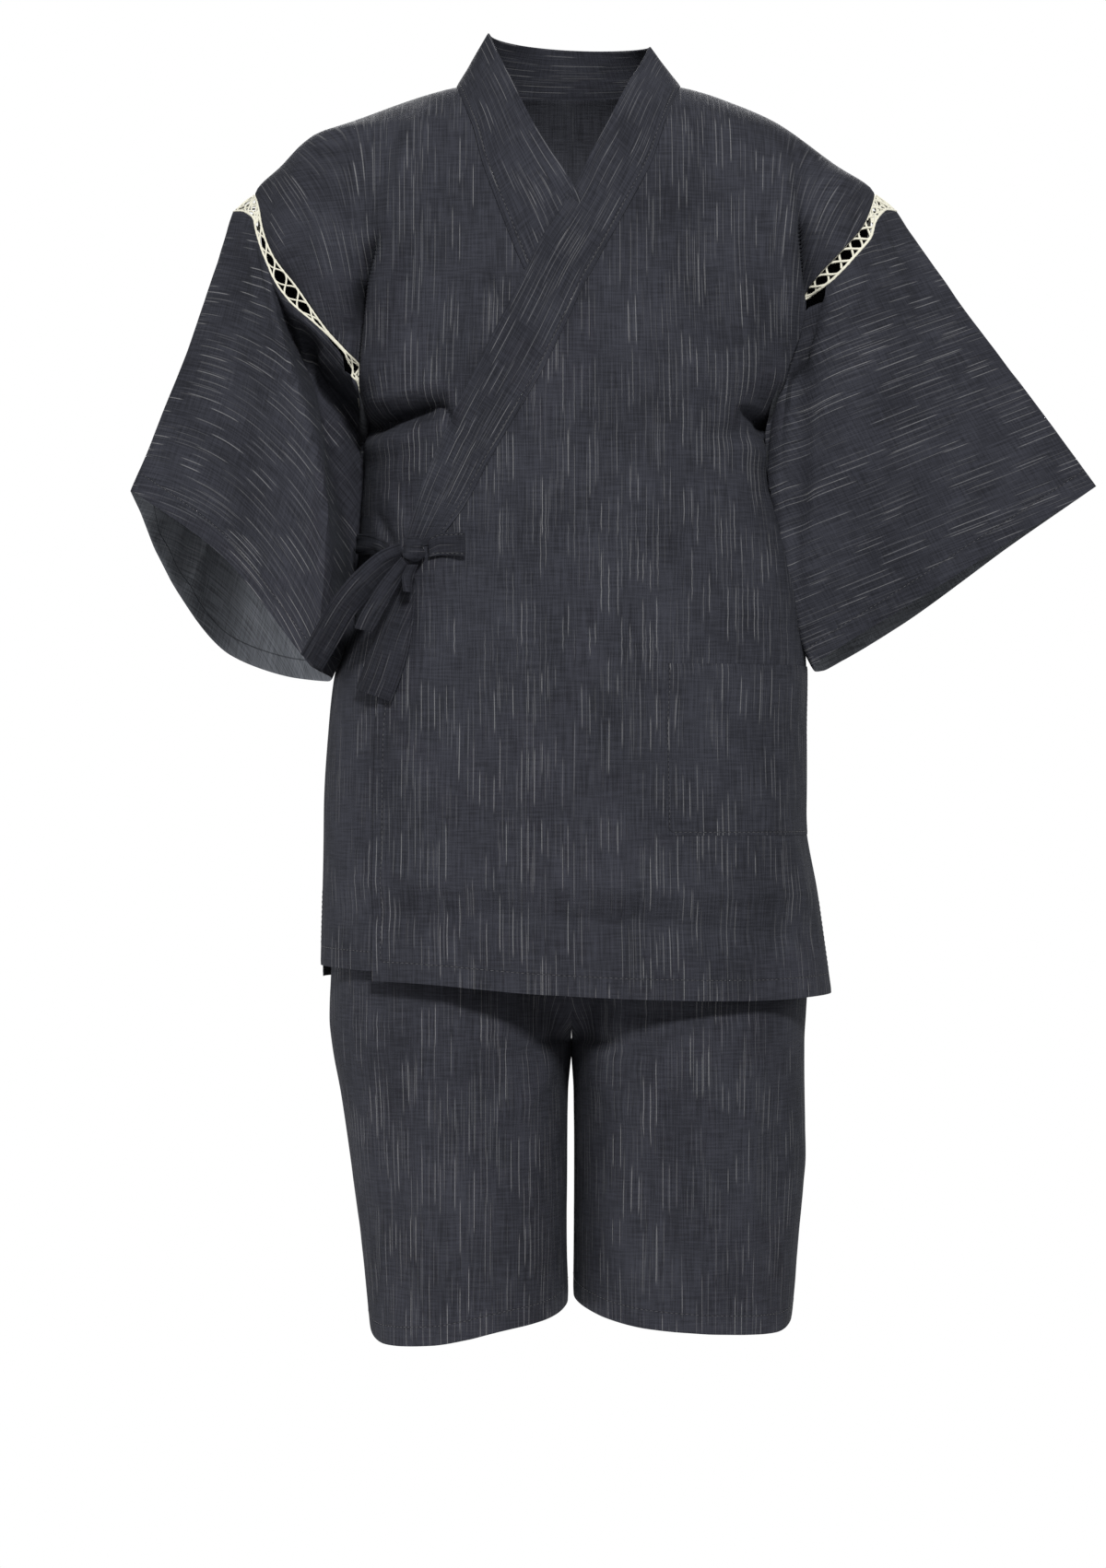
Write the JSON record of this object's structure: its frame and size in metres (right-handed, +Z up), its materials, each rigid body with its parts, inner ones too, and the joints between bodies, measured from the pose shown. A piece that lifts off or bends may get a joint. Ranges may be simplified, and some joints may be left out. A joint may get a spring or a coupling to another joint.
{
  "type": "jinbei set",
  "caption": "Worn summer jinbei of dark kasuri-dash cotton: a wrapped jacket with wide sleeves, lace insertion at the shoulders and a side bow, over knee shorts.",
  "frame": {"origin": "on the shoulder line midway between the two neck points, where the garment hangs on its wearer", "axes": "+Z up, -Y the wearer's front, +X the wearer's left"},
  "size_m": [0.8342, 0.2712, 1.1146],
  "materials": {
    "left_front": "matte crinkled cotton with light kasuri dashes",
    "right_front": "matte crinkled cotton with light kasuri dashes",
    "back": "matte crinkled cotton with light kasuri dashes",
    "collar": "matte crinkled cotton with light kasuri dashes",
    "sleeve_left": "matte crinkled cotton with light kasuri dashes",
    "sleeve_right": "matte crinkled cotton with light kasuri dashes",
    "lace_left": "ivory cotton crochet strip",
    "lace_right": "ivory cotton crochet strip",
    "pocket": "matte crinkled cotton with light kasuri dashes",
    "tie_knot": "matte crinkled cotton with light kasuri dashes",
    "tie_strap_front": "matte crinkled cotton with light kasuri dashes",
    "tie_strap_side": "matte crinkled cotton with light kasuri dashes",
    "tie_tail_left": "matte crinkled cotton with light kasuri dashes",
    "tie_tail_right": "matte crinkled cotton with light kasuri dashes",
    "tie_loop_side": "matte crinkled cotton with light kasuri dashes",
    "tie_loop_front": "matte crinkled cotton with light kasuri dashes",
    "shorts_right_front": "matte crinkled cotton with light kasuri dashes",
    "shorts_right_back": "matte crinkled cotton with light kasuri dashes",
    "shorts_left_front": "matte crinkled cotton with light kasuri dashes",
    "shorts_left_back": "matte crinkled cotton with light kasuri dashes",
    "waistband": "matte crinkled cotton with light kasuri dashes"
  },
  "bodies": {
    "root": {"left_front": "left_front", "right_front": "right_front", "back": "back", "collar": "collar", "sleeve_left": "sleeve_left", "sleeve_right": "sleeve_right", "lace_left": "lace_left", "lace_right": "lace_right", "pocket": "pocket", "tie_knot": "tie_knot", "tie_strap_front": "tie_strap_front", "tie_strap_side": "tie_strap_side", "tie_tail_left": "tie_tail_left", "tie_tail_right": "tie_tail_right", "tie_loop_side": "tie_loop_side", "tie_loop_front": "tie_loop_front", "shorts_right_front": "shorts_right_front", "shorts_right_back": "shorts_right_back", "shorts_left_front": "shorts_left_front", "shorts_left_back": "shorts_left_back", "waistband": "waistband"}
  },
  "joints": []
}
